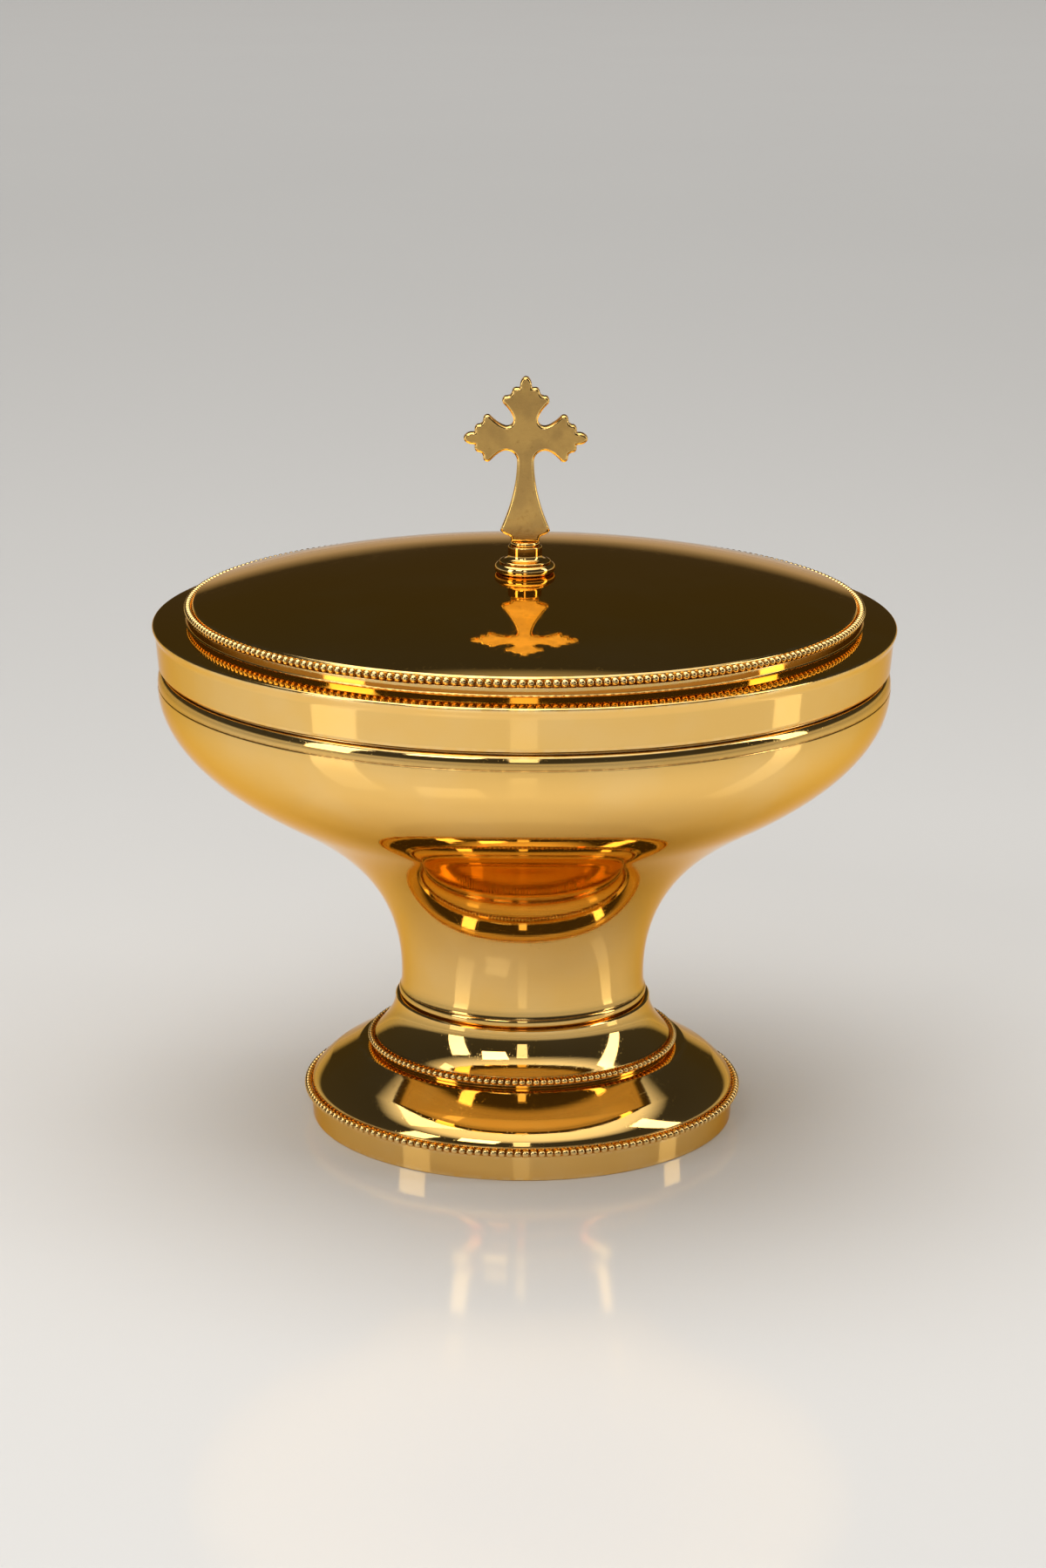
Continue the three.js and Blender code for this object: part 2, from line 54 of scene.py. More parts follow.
# Facets round a turned piece
BOWL_FACETS = 192
FOOT_FACETS = 144
SMALL_FACETS = 72

# Gold as plated and polished, where it has worn pale, and where polish and age have darkened it. On
# the beads the pale gold is also a painted highlight, and the dark gold painted shade in the
# notches between them
GOLD = (0.92, 0.575, 0.17, 1)
PALE_GOLD = (0.94, 0.68, 0.31, 1)
DARK_GOLD = (0.28, 0.14, 0.04, 1)
CAST_GOLD = (0.60, 0.37, 0.12, 1)
INNER_GOLD = (0.92, 0.63, 0.25, 1)
# The tint that gold keeps where it is seen at a low angle
GRAZING_GOLD = (0.94, 0.68, 0.34, 1)
BRASS = (0.62, 0.44, 0.17, 1)
DULL_BRASS = (0.34, 0.21, 0.08, 1)
ZINC = (0.62, 0.61, 0.58, 1)
DULL_ZINC = (0.30, 0.29, 0.27, 1)
GRAZING_ZINC = (1, 1, 1, 1)
FLOOR_TONE = (0.80, 0.79, 0.77, 1)
FLOOR_CLOUD = (0.74, 0.73, 0.71, 1)


# Sizes taken from the CAD nodes


def bottom_of(node):
    """The height of a node's underside."""
    return round(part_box(node)[0][2] / MM, 3)


def top_of(node):
    """The height of a node's top."""
    return round(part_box(node)[1][2] / MM, 3)


def reach_of(node):
    """How far a node reaches to the right of the axis."""
    return round(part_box(node)[1][0] / MM, 3)


def depth_of(node):
    """How far a node reaches behind the axis."""
    return round(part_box(node)[1][1] / MM, 3)


DOME_SEAT = bottom_of("foot_dome")
DRUM_SEAT = bottom_of("foot_drum")
NECK_RING_SEAT = bottom_of("neck_ring")
BOWL_SEAT = bottom_of("bowl_shell")
LIP_TOP = top_of("bowl_liner")
LID_SEAT = bottom_of("lid_rim")
SHELF_UNDERSIDE = top_of("locating_ring")
LID_BEAD_SEAT = bottom_of("lid_bead_ring")
LID_TOP = bottom_of("finial_collar")
COLLAR_TOP = bottom_of("lid_cross")

# The thickness of the sheet that foot and bowl are spun from
SHEET = 1.0
ROD_BORE = 3.25
STUD_BORE = 1.65
# The stud's bore where the cross stands on its collar
SNUG_BORE = 1.42
# Where the neck's curve runs into the belly's
FLARE = [58.6, 76.2]
# The lid's own wall, inside the beads
CROWN_RADIUS = 76.8
# From the middle of the cross to the tip of an arm
ARM = 14.2


# Shader nodes


class Value:
    """An output socket. A sum written on it adds its Math nodes."""

    def __init__(self, nodes, socket):
        self.nodes = nodes
        self.socket = socket

    def math(self, operation, *values):
        return self.nodes.node("ShaderNodeMath", {"operation": operation}, dict(enumerate(values)))

    def __add__(self, other):
        return self.math("ADD", self, other)

    def __radd__(self, other):
        return self.math("ADD", other, self)

    def __sub__(self, other):
        return self.math("SUBTRACT", self, other)

    def __rsub__(self, other):
        return self.math("SUBTRACT", other, self)

    def __mul__(self, other):
        return self.math("MULTIPLY", self, other)

    def __rmul__(self, other):
        return self.math("MULTIPLY", other, self)

    def __pow__(self, other):
        return self.math("POWER", self, other)

    def __rpow__(self, other):
        return self.math("POWER", other, self)

    def __abs__(self):
        return self.math("ABSOLUTE", self)


class Nodes:
    """The node tree of a material or of the world, filled one node at a time."""

    def __init__(self, owner):
        owner.use_nodes = True
        self.tree = owner.node_tree
        self.tree.nodes.clear()

    def node(self, kind, settings=None, values=None, output=0):
        """Adds a node and gives its output socket, or all of them where output is None."""
        made = self.tree.nodes.new(kind)
        for key, setting in (settings or {}).items():
            if key == "stops":
                set_stops(made.color_ramp.elements, setting)
            else:
                setattr(made, key, setting)
        for key, value in (values or {}).items():
            if isinstance(value, Value):
                self.tree.links.new(value.socket, made.inputs[key])
            else:
                made.inputs[key].default_value = value
        if output is None:
            return [Value(self, socket) for socket in made.outputs]
        return Value(self, made.outputs[output])


def set_stops(elements, stops):
    """Gives a colour ramp its [position, colour] stops."""
    while len(elements) < len(stops):
        elements.new(0.5)
    for element, (position, colour) in zip(elements, stops):
        element.position = position
        element.color = colour


class Finish(Nodes):
    """A material. Its place, x, y, z and radius are in millimetres."""

    def __init__(self, name):
        self.material = bpy.data.materials.new(name)
        super().__init__(self.material)
        metres = self.node("ShaderNodeTexCoord", output="Object")
        scale = {"operation": "SCALE"}
        self.place = self.node("ShaderNodeVectorMath", scale, {0: metres, "Scale": 1 / MM})
        self.x, self.y, self.z = self.node("ShaderNodeSeparateXYZ", {}, {0: self.place}, None)
        self.radius = (self.x * self.x + self.y * self.y) ** 0.5
        self.angle = self.x.math("ARCTAN2", self.y, self.x)

    def ramp(self, value, low, high):
        """0 below low, 1 above high, and smooth in between. The two may be the other way round."""
        settings = {"interpolation_type": "SMOOTHSTEP"}
        values = {"Value": value, "From Min": low, "From Max": high}
        return self.node("ShaderNodeMapRange", settings, values)

    def noise(self, place, scale, detail=2.0):
        values = {"Vector": place, "Scale": scale, "Detail": detail}
        return self.node("ShaderNodeTexNoise", {}, values)

    def point(self, x, y, z):
        return self.node("ShaderNodeCombineXYZ", {}, {0: x, 1: y, 2: z})

    def mix(self, share, first, second):
        """The first colour where share is 0, the second where it is 1."""
        settings = {"data_type": "RGBA"}
        return self.node("ShaderNodeMix", settings, {0: share, 6: first, 7: second}, 2)

    def near(self, rings, reach):
        """1 on the circles [radius, height], and 0 at reach millimetres from them."""
        nearest = None
        for radius, height in rings:
            across, up = self.radius - radius, self.z - height
            distance = (across * across + up * up) ** 0.5
            nearest = distance if nearest is None else nearest.math("MINIMUM", nearest, distance)
        return self.ramp(nearest, reach, 0.0)

    def scratches(self, along, across, other, fineness):
        """Short straight scratches that run along the first of three coordinates."""
        stretched = 0.09
        place = self.point(stretched * along, fineness * across, fineness * other)
        return self.ramp(self.noise(place, 1.0, 1.0), 0.70, 0.80)

    def spun_marks(self, fineness):
        """Fine rings round the axis, which fade in and out along their length."""
        fading = 0.6
        place = self.point(fineness * self.radius, fineness * self.z, fading * self.angle)
        return self.noise(place, 1.0, 3.0)

    def painted(self, values):
        """The finished material, a single shader with these values."""
        shader = self.node("ShaderNodeBsdfPrincipled", {}, values)
        self.node("ShaderNodeOutputMaterial", {}, {"Surface": shader}, None)
        return self.material

    def metal(self, colour, roughness, height, strength, distance, grazing=GRAZING_GOLD):
        """The finished metal. A height of 1 stands out by the distance, in millimetres."""
        bump = {"Strength": strength, "Distance": distance * MM, "Height": height}
        values = {
            "Base Color": colour,
            "Metallic": 1.0,
            "Roughness": roughness,
            "Specular Tint": grazing,
            "Normal": self.node("ShaderNodeBump", {}, bump),
        }
        return self.painted(values)


def polished_gilt(name, edges=(), seams=(), depth=0.02):
    """Mirror-polished plate with spinning marks, hairlines, pale worn edges and dark seams."""
    finish = Finish(name)
    marks = finish.spun_marks(2.2)
    cloud = finish.noise(finish.place, 0.045, 3.0)
    x, y, z = finish.x, finish.y, finish.z
    lines = finish.scratches(x + y, x - y, z, 2.4)
    lines = lines.math("MAXIMUM", lines, finish.scratches(x - 2 * y, 2 * x + y, z, 2.0))
    haze = finish.ramp(cloud, 0.45, 0.75)
    colour = finish.mix(0.3 * finish.ramp(cloud, 0.42, 0.72), GOLD, PALE_GOLD)
    roughness = 0.025 + 0.03 * haze + 0.03 * marks + 0.06 * lines
    if edges:
        worn = finish.near(edges, 1.1) * finish.ramp(finish.noise(finish.place, 0.5), 0.35, 0.6)
        colour = finish.mix(0.7 * worn, colour, PALE_GOLD)
        roughness = roughness + 0.08 * worn
    if seams:
        held = finish.near(seams, 0.55) * finish.ramp(finish.noise(finish.place, 0.7), 0.2, 0.6)
        colour = finish.mix(0.6 * held, colour, DARK_GOLD)
        roughness = roughness + 0.15 * held
    height = 0.6 * marks + 1.4 * cloud - 0.6 * lines
    return finish.metal(colour, roughness, height, 0.25, depth)


def spun_gilt(name, tone, shine):
    """Satin plate inside the vessel, with the spinning tool's rings left in it."""
    finish = Finish(name)
    marks = finish.spun_marks(1.6)
    cloud = finish.noise(finish.place, 0.07, 3.0)
    colour = finish.mix(0.4 * finish.ramp(cloud, 0.4, 0.7), tone, PALE_GOLD)
    colour = finish.mix(0.25 * finish.ramp(marks, 0.55, 0.75), colour, DARK_GOLD)
    roughness = shine + 0.12 * marks + 0.06 * cloud
    return finish.metal(colour, roughness, marks + 0.8 * cloud, 0.3, 0.04)


def bead_gilt(name, count):
    """Gold beads, darkened with painted shade in the notches between them and lightened, in
    patches, with a painted highlight over the rest of each bead.
    """
    finish = Finish(name)
    # The angle can be below 0, so the number of beads is added to keep the phase above it
    phase = finish.angle * (count / (2 * math.pi)) + count
    notch = finish.ramp(abs(phase.math("FRACT", phase) - 0.5), 0.25, 0.42)
    patch = finish.ramp(finish.noise(finish.place, 0.35), 0.3, 0.7)
    # Painted shade: dark gold in the notches between the beads
    colour = finish.mix(notch * (0.6 + 0.3 * patch), GOLD, DARK_GOLD)
    # Painted highlight: pale gold over each bead away from its notches
    colour = finish.mix((1 - notch) * (0.4 + 0.4 * patch), colour, PALE_GOLD)
    grain = finish.noise(finish.place, 4.0)
    roughness = 0.04 + 0.15 * notch + 0.04 * patch + 0.04 * grain
    return finish.metal(colour, roughness, grain, 0.3, 0.03)


def cast_face_gilt(name):
    """The cross's flat faces: gold plate over a faintly pitted casting, with fine scratches."""
    finish = Finish(name)
    pits = finish.noise(finish.place, 1.1, 4.0)
    cloud = finish.noise(finish.place, 0.22, 3.0)
    x, y, z = finish.x, finish.y, finish.z
    lines = finish.scratches(3 * x + z, x - 3 * z, y, 3.0)
    lines = lines.math("MAXIMUM", lines, finish.scratches(3 * z + x, z - 3 * x, y, 2.6))
    colour = finish.mix(0.55 * finish.ramp(cloud, 0.35, 0.68), CAST_GOLD, GOLD)
    colour = finish.mix(0.25 * finish.ramp(pits, 0.60, 0.78), colour, DARK_GOLD)
    roughness = 0.04 + 0.10 * cloud + 0.06 * pits + 0.05 * lines
    return finish.metal(colour, roughness, pits - 0.15 * lines, 0.15, 0.04)


def cast_edge_gilt(name):
    """The cross's rounded edges, filed and polished bright."""
    finish = Finish(name)
    grain = finish.noise(finish.place, 1.6, 3.0)
    colour = finish.mix(0.5 * finish.ramp(grain, 0.4, 0.7), GOLD, PALE_GOLD)
    return finish.metal(colour, 0.06 + 0.08 * grain, grain, 0.3, 0.05)


def turned_metal(name, bright, dull, shine, grazing):
    """Plain brass or zinc-plated steel with turning marks and dull patches."""
    finish = Finish(name)
    marks = finish.spun_marks(4.0)
    patch = finish.ramp(finish.noise(finish.place, 0.18, 5.0), 0.45, 0.85)
    colour = finish.mix(0.5 * patch, bright, dull)
    roughness = shine + 0.16 * marks + 0.14 * patch
    return finish.metal(colour, roughness, marks, 0.4, 0.06, grazing)


def floor_paint():
    """Pale paint with a soft sheen and faint clouds."""
    finish = Finish("floor_paint")
    cloud = finish.noise(finish.place, 0.004, 4.0)
    tone = finish.mix(0.25 * cloud, FLOOR_TONE, FLOOR_CLOUD)
    roughness = 0.06 + 0.05 * cloud
    return finish.painted({"Base Color": tone, "Roughness": roughness, "Specular IOR Level": 0.3})


# Outlines


def curve(start, first_pull, last_pull, end, steps):
    """Points along a cubic curve."""
    made = []
    for step in range(steps + 1):
        t = step / steps
        weights = ((1 - t) ** 3, 3 * t * (1 - t) ** 2, 3 * t * t * (1 - t), t**3)
        points = (start, first_pull, last_pull, end)
        made.append([sum(w * p[axis] for w, p in zip(weights, points)) for axis in (0, 1)])
    return made


def arc(centre, radius, start, end, steps):
    """Points round a centre, from one angle to another, in degrees."""
    turns = [math.radians(start + (end - start) * step / steps) for step in range(steps + 1)]
    return [[centre[0] + radius * math.cos(t), centre[1] + radius * math.sin(t)] for t in turns]


def sheet(outside, wall):
    """The inner face of a spun sheet, from its upper end to its lower one."""
    made = []
    for index, (radius, height) in enumerate(outside):
        before, after = outside[max(index - 1, 0)], outside[min(index + 1, len(outside) - 1)]
        run = Vector((after[0] - before[0], after[1] - before[1])).normalized() * wall
        made.append([radius - run.y, height + run.x])
    return made[::-1]


def rounded(outline, closed, usual=0.12):
    """The outline with small arcs at its sharp corners. A corner may state its own radius."""
    sharp, arc_step = math.radians(16), math.radians(18)
    # The most of a side that an arc at one of its ends may take
    most = 0.45
    corners = [complex(point[0], point[1]) for point in outline]
    made = []
    for index, corner in enumerate(corners):
        if not closed and index in (0, len(corners) - 1):
            made.append(corner)
            continue
        back, ahead = corners[index - 1] - corner, corners[(index + 1) % len(corners)] - corner
        turn = cmath.phase(-ahead / back)
        if abs(turn) < sharp:
            made.append(corner)
            continue
        radius = outline[index][2] if len(outline[index]) > 2 else usual
        slope = math.tan(abs(turn) / 2)
        cut = min(radius * slope, most * min(abs(back), abs(ahead)))
        start = corner + back / abs(back) * cut
        side = 1j if turn > 0 else -1j
        centre = start - back / abs(back) * side * cut / slope
        steps = max(2, round(abs(turn) / arc_step))
        for step in range(steps + 1):
            made.append(centre + (start - centre) * cmath.exp(1j * turn * step / steps))
    return [[point.real, point.imag] for point in made]


# Meshes


def shown(name, data):
    """Puts a mesh, lamp or camera in the scene."""
    made = bpy.data.objects.new(name, data)
    bpy.context.scene.collection.objects.link(made)
    return made


def ring_of(reaches, height):
    """Points round the axis at one height, each at its own distance from it."""
    turns = [2 * math.pi * step / len(reaches) for step in range(len(reaches))]
    return [(r * math.cos(t), r * math.sin(t), height) for r, t in zip(reaches, turns)]


def skin(name, rings, capped=False, normals=None):
    """A closed mesh over rings of points. Its ends are capped, or else joined to each other."""
    crease = math.radians(42)
    size = len(rings[0])
    points = [Vector(point) * MM for ring in rings for point in ring]
    faces = []
    for index in range(len(rings) - (1 if capped else 0)):
        here, above = index * size, (index + 1) % len(rings) * size
        for place in range(size):
            after = (place + 1) % size
            faces.append((here + place, here + after, above + after, above + place))
    if capped:
        faces.append(tuple(reversed(range(size))))
        faces.append(tuple(range(len(points) - size, len(points))))
    mesh = bpy.data.meshes.new(name)
    mesh.from_pydata(points, [], faces)
    mesh.shade_smooth()
    if normals:
        mesh.normals_split_custom_set_from_vertices(normals)
    else:
        mesh.set_sharp_from_angle(angle=crease)
    return shown(name, mesh)


def turned(name, outline, facets, capped=False):
    """A turned piece. Its outline is closed, or else both its ends are capped across the axis."""
    edge = rounded(outline, not capped)
    first, last = edge[0], edge[-1]
    ends = ([0, first[1]], [0, last[1]]) if capped else (last, first)
    rings, normals = [], []
    for before, (radius, height), after in zip([ends[0], *edge], edge, [*edge[1:], ends[1]]):
        across, up = Vector((after[1] - before[1], before[0] - after[0])).normalized()
        rings.append(ring_of([radius] * facets, height))
        normals += ring_of([across] * facets, up)
    return skin(name, rings, capped, normals)


def dress(piece, body, node, slot, *materials):
    """Puts a piece in its node's place, on its body and in its finish."""
    for material in materials:
        piece.data.materials.append(material)
    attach(piece, body)
    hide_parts(node)


def line_inside(piece, material):
    """Gives the faces that look down or towards the axis a plainer finish."""
    piece.data.materials.append(material)
    for polygon in piece.data.polygons:
        outward = polygon.center.xy.normalized().dot(polygon.normal.xy)
        looks_in = outward + polygon.normal.z < -0.2
        polygon.material_index = 1 if looks_in else 0


def beaded_wire(name, wall, seat, centre, bead, count):
    """A wire of touching round beads, which stands on its seat with its back to a wall."""
    # The wire stays this far from both
    behind, below = 0.04, 0.01
    # Where two beads meet, as seen from the middle of one
    neck = math.radians(72)
    stations, sides = 8, 14
    step = 2 * math.pi / count
    rings = []
    for index in range(count * stations):
        lean = neck * (2 * (index % stations) / stations - 1)
        angle = (index // stations + 0.5 + 0.5 * math.sin(lean) / math.sin(neck)) * step
        thick = bead * math.cos(lean)
        ring = []
        for side in range(sides):
            turn = -2 * math.pi * side / sides
            radius = max(centre + thick * math.cos(turn), wall + behind)
            height = seat + below + bead + thick * math.sin(turn)
            ring.append((radius * math.cos(angle), radius * math.sin(angle), height))
        rings.append(ring)
    return skin(name, rings)


def beads(place, body, node, wall, centre, bead, count):
    """The beaded wire of the plinth, the drum or the lid, in its finish."""
    piece = beaded_wire(f"{place}_beads", wall, bottom_of(node), centre, bead, count)
    dress(piece, body, node, "bead_gilt", bead_gilt(f"{place}_bead_gilt", count))


# Foot


def plinth(satin):
    """The base ring. The vessel stands on it, and the dome on the ledge inside its top."""
    radius, lower_radius, ledge_bore = reach_of("foot_dome"), 49.9, 45.0
    seat = bottom_of("foot_bead_ring")
    outline = [
        [lower_radius - SHEET, 0],
        [lower_radius, 0, 0.3],
        [radius + 0.3, seat - 0.03, 0.15],
        [radius, seat],
        [radius, DOME_SEAT],
        [ledge_bore, DOME_SEAT],
        [ledge_bore, DOME_SEAT - SHEET],
        [radius - SHEET, DOME_SEAT - SHEET],
    ]
    piece = turned("plinth", outline, FOOT_FACETS)
    edges, seams = [[lower_radius, 0.2], [radius + 0.3, 6.0]], [[radius, 6.1]]
    material = polished_gilt("plinth_gilt", edges, seams)
    dress(piece, "bowl_and_foot", "foot_plinth", "polished_gilt", material)
    line_inside(piece, satin)
    beads("plinth", "bowl_and_foot", "foot_bead_ring", radius, centre=50.94, bead=0.90, count=176)


def dome(satin):
    """The spun dome, which carries the drum on its flat top."""
    radius, underside = reach_of("foot_dome"), DRUM_SEAT - SHEET
    side = curve([radius, DOME_SEAT], [radius, 9.3], [46.5, 12.37], [45.2, 13.15], 18)
    corner = [38.6, DRUM_SEAT]
    side += [[39.4, 16.65], [*corner, 0.6]]
    inside = sheet(side[:-1], SHEET)
    inside[-1] = [radius - SHEET, DOME_SEAT]
    top = [[ROD_BORE, DRUM_SEAT], [ROD_BORE, underside], [38.2, underside]]
    piece = turned("dome", [*side, *top, *inside], FOOT_FACETS)
    seams = [[radius, 8.0], [35.7, DRUM_SEAT]]
    material = polished_gilt("dome_gilt", [corner], seams)
    dress(piece, "bowl_and_foot", "foot_dome", "polished_gilt", material)
    line_inside(piece, satin)


def drum(satin):
    """The drum, which narrows from its beaded lower edge to the neck ring."""
    seat, bead_top = bottom_of("drum_bead_ring"), top_of("drum_bead_ring")
    flange, waist = reach_of("foot_drum"), 30.1
    radius, underside = flange - 0.6, NECK_RING_SEAT - 1.2
    side = curve([radius, bead_top], [31.6, 22.93], [waist, 25.9], [waist, 28.9], 18)
    inside = sheet(side, SHEET)
    inside[0] = [waist - SHEET, underside]
    outline = [
        [radius - SHEET, DRUM_SEAT],
        [flange, DRUM_SEAT],
        [flange, seat, 0.2],
        [radius, seat],
        *side,
        [waist - 0.35, NECK_RING_SEAT, 0.3],
        [ROD_BORE, NECK_RING_SEAT],
        [ROD_BORE, underside],
        *inside,
    ]
    piece = turned("drum", outline, FOOT_FACETS)
    edges = [[flange, 17.8], [29.9, 29.2]]
    seams = [[radius, seat], [radius, 19.6], [28.8, NECK_RING_SEAT]]
    material = polished_gilt("drum_gilt", edges, seams)
    dress(piece, "bowl_and_foot", "foot_drum", "polished_gilt", material)
    line_inside(piece, satin)
    beads("drum", "bowl_and_foot", "drum_bead_ring", radius, centre=35.89, bead=0.81, count=138)


def neck_ring():
    """The turned ring between drum and bowl."""
    bore = 22
    side = curve([28.75, NECK_RING_SEAT], [29.4, 29.6], [29.4, 31.1], [28.85, BOWL_SEAT], 12)
    piece = turned("neck_moulding", [[bore, NECK_RING_SEAT], *side, [bore, BOWL_SEAT]], FOOT_FACETS)
    seams = [[28.8, NECK_RING_SEAT], [28.85, BOWL_SEAT]]
    material = polished_gilt("neck_ring_gilt", [], seams)
    dress(piece, "bowl_and_foot", "neck_ring", "polished_gilt", material)


def foot():
    """Every piece below the bowl."""
    satin = spun_gilt("foot_inner_gilt", CAST_GOLD, 0.22)
    plinth(satin)
    dome(satin)
    drum(satin)
    neck_ring()


# Bowl


def bowl():
    """The outer bowl, with its neck and its rounded lip."""
    radius, neck_radius, bore = 84.9, 28.6, 23.0
    hem_top, lip_end = [neck_radius, 34.4], [83.6, 109.05]
    hem = curve([29.0, BOWL_SEAT], [28.75, 31.8], [neck_radius, 32.8], hem_top, 8)
    neck = curve(hem_top, [neck_radius, 54.8], [40.79, 66.04], FLARE, 32)
    belly = curve(FLARE, [66.85, 80.9], [radius, 91.0], [radius, 105.5], 36)
    groove = [[radius, 105.6], [radius - 0.16, 105.8, 0.1], [radius, 106.0]]
    lip = curve([radius, 106.1], [radius, 107.8], [84.5, 108.9], lip_end, 10)
    side = [*hem, *neck[1:], *belly[1:]]
    # The inner face stops short of the lip above it and of the floor below it
    inside = [[lip_end[0], 108.0], *sheet(side, SHEET)[2:-8], [neck_radius - SHEET, 34.0]]
    floor_top = BOWL_SEAT + SHEET
    neck_floor = [[neck_radius - SHEET, floor_top], [bore, floor_top]]
    outline = [[bore, BOWL_SEAT], *side, *groove, *lip, *inside, *neck_floor]
    piece = turned("bowl", outline, BOWL_FACETS)
    seams = [[28.9, 31.5], [84.8, 105.8]]
    material = polished_gilt("bowl_gilt", [[84.2, 108.8]], seams, depth=0.03)
    dress(piece, "bowl_and_foot", "bowl_shell", "polished_gilt", material)


def liner():
    """The inner bowl, which follows the belly and has a shallow dish for its floor."""
    wall, inset, shell = 0.8, 1.3, reach_of("bowl_shell")
    belly = curve(FLARE, [66.77, 80.86], [shell, 91.5], [shell, 106.0], 28)
    upper = sheet(belly, inset)[::-1]
    # The dish leaves the upper wall along its slope and becomes level towards the axis
    edge, slope = upper[0], cmath.rect(21, math.radians(29.7))
    last_pull, lowest = [edge[0] - slope.real, edge[1] - slope.imag], edge[1] - 16.4
    dish = curve([0.5, lowest], [19, lowest], last_pull, edge, 24)
    radius = shell - inset
    outside = [*dish, *upper[1:], [radius, 108.4]]
    mouth = [[radius, LIP_TOP, 0.3], [radius - wall, LIP_TOP, 0.3]]
    piece = turned("liner", [*outside, *mouth, *sheet(outside, wall)], BOWL_FACETS, True)
    material = spun_gilt("liner_gilt", INNER_GOLD, 0.12)
    dress(piece, "bowl_and_foot", "bowl_liner", "inner_gilt", material)


# Lid


def rim(satin):
    """The lid's upright band, its flat shelf and the upstand that carries the beads."""
    radius, upstand_radius, bore = reach_of("lid_rim"), 78.0, 77.1
    band_top = [85.3, 117.0]
    band = [[83.5, LID_SEAT], [84.3, LID_SEAT, 0.3], [84.75, 110.5, 0.3], band_top]
    cove = curve(band_top, [85.35, 117.9], [85.85, 118.3], [radius, 119.1], 10)
    shelf = [[radius, 119.35, 0.3], [radius - 0.25, 119.65, 0.3], [78.3, 120.42, 0.3]]
    upstand = [[upstand_radius, 120.7, 0.2], [upstand_radius, LID_BEAD_SEAT], [bore, LID_BEAD_SEAT]]
    inside = [[bore, SHELF_UNDERSIDE], [83.7, SHELF_UNDERSIDE, 0.4], [83.9, 117.0]]
    piece = turned("rim", [*band, *cove[1:], *shelf, *upstand, *inside], BOWL_FACETS)
    edges = [[radius, 119.4], [84.5, 109.9], [upstand_radius, 122.2]]
    material = polished_gilt("rim_gilt", edges, [[78.1, 120.5]], depth=0.012)
    dress(piece, "lid", "lid_rim", "polished_gilt", material)
    line_inside(piece, satin)
    beads("lid", "lid", "lid_bead_ring", CROWN_RADIUS, centre=77.72, bead=0.905, count=269)


def locating_ring():
    """The ring under the shelf that drops into the liner's mouth."""
    radius, bottom = reach_of("locating_ring"), bottom_of("locating_ring")
    bore = radius - 0.9
    outline = [
        [bore, bottom, 0.3],
        [radius, bottom, 0.4],
        [radius, SHELF_UNDERSIDE],
        [bore, SHELF_UNDERSIDE],
    ]
    piece = turned("locating_collar", outline, BOWL_FACETS)
    material = spun_gilt("locating_gilt", INNER_GOLD, 0.10)
    dress(piece, "lid", "locating_ring", "inner_gilt", material)


def crown(satin):
    """The shallow crown, its upright wall and the foot that turns out below the shelf."""
    wall, foot_radius, collar_radius = 0.9, 79.1, reach_of("finial_collar")
    shoulder, shoulder_height, flatness, steps = 76.45, 124.32, 3.5, 40
    top = []
    for step in range(steps + 1):
        radius = shoulder + (collar_radius - shoulder) * step / steps
        fall = (LID_TOP - shoulder_height) * (radius / shoulder) ** flatness
        top.append([radius, LID_TOP - fall])
    bore, underside = CROWN_RADIUS - wall, SHELF_UNDERSIDE - wall
    outline = [
        [bore, underside],
        [foot_radius, underside],
        [foot_radius, SHELF_UNDERSIDE],
        [CROWN_RADIUS, SHELF_UNDERSIDE],
        [CROWN_RADIUS, 123.95, 0.3],
        *top,
        [STUD_BORE, LID_TOP],
        [STUD_BORE, LID_TOP - wall],
        *sheet(top, wall)[:-1],
        [bore, 123.2],
    ]
    piece = turned("crown", outline, BOWL_FACETS)
    material = polished_gilt("crown_gilt", [[76.6, 124.2]], [[7.1, 130.7]], depth=0.012)
    dress(piece, "lid", "lid_top", "polished_gilt", material)
    line_inside(piece, satin)


def lid():
    """The lid without its finial."""
    satin = spun_gilt("lid_inner_gilt", INNER_GOLD, 0.14)
    rim(satin)
    locating_ring()
    crown(satin)


# Finial


def finial_collar():
    """The turned collar that the cross stands on: a roll, a step and a hollow stem."""
    stem, snug_from = 3.9, 136.4
    roll = curve([6.2, LID_TOP], [7.28, 130.95], [7.28, 132.8], [6.2, 133.05], 14)
    step = curve([5.6, 133.1], [6.05, 133.2], [6.05, 133.65], [5.5, 133.75], 8)
    cove = curve([5.2, 133.75], [4.4, 133.8], [stem, 134.2], [stem, 135.0], 10)
    top = [[stem, COLLAR_TOP, 0.3], [SNUG_BORE, COLLAR_TOP]]
    inside = [[SNUG_BORE, snug_from], [STUD_BORE, snug_from]]
    outline = [[STUD_BORE, LID_TOP], *roll, *step, *cove, *top, *inside]
    piece = turned("collar", outline, SMALL_FACETS)
    material = polished_gilt("collar_gilt", [[7.0, 131.9]], [[5.7, 133.1], [4.6, 133.95]])
    dress(piece, "lid", "finial_collar", "polished_gilt", material)


def nick(before, after):
    """The point of the nick between two lobes, a little behind the line that joins them."""
    depth = 0.25
    start, end = Vector(before[-1]), Vector(after[0])
    run = (end - start).normalized() * depth
    middle = (start + end) / 2
    return [middle.x + run.y, middle.y - run.x]


def lobed_half_end():
    """Half of an arm's end, [along, across], from its corner lobe round to its tip."""
    corner = arc([8.75, 4.4], 1.0, 130, -10, 10)
    side = arc([10.65, 2.15], 1.05, 95, -15, 8)
    tip = curve([12.1, 1.35], [12.95, 1.45], [ARM, 0.8], [ARM, 0], 10)
    return [*corner, nick(corner, side), *side, nick(side, tip), *tip]


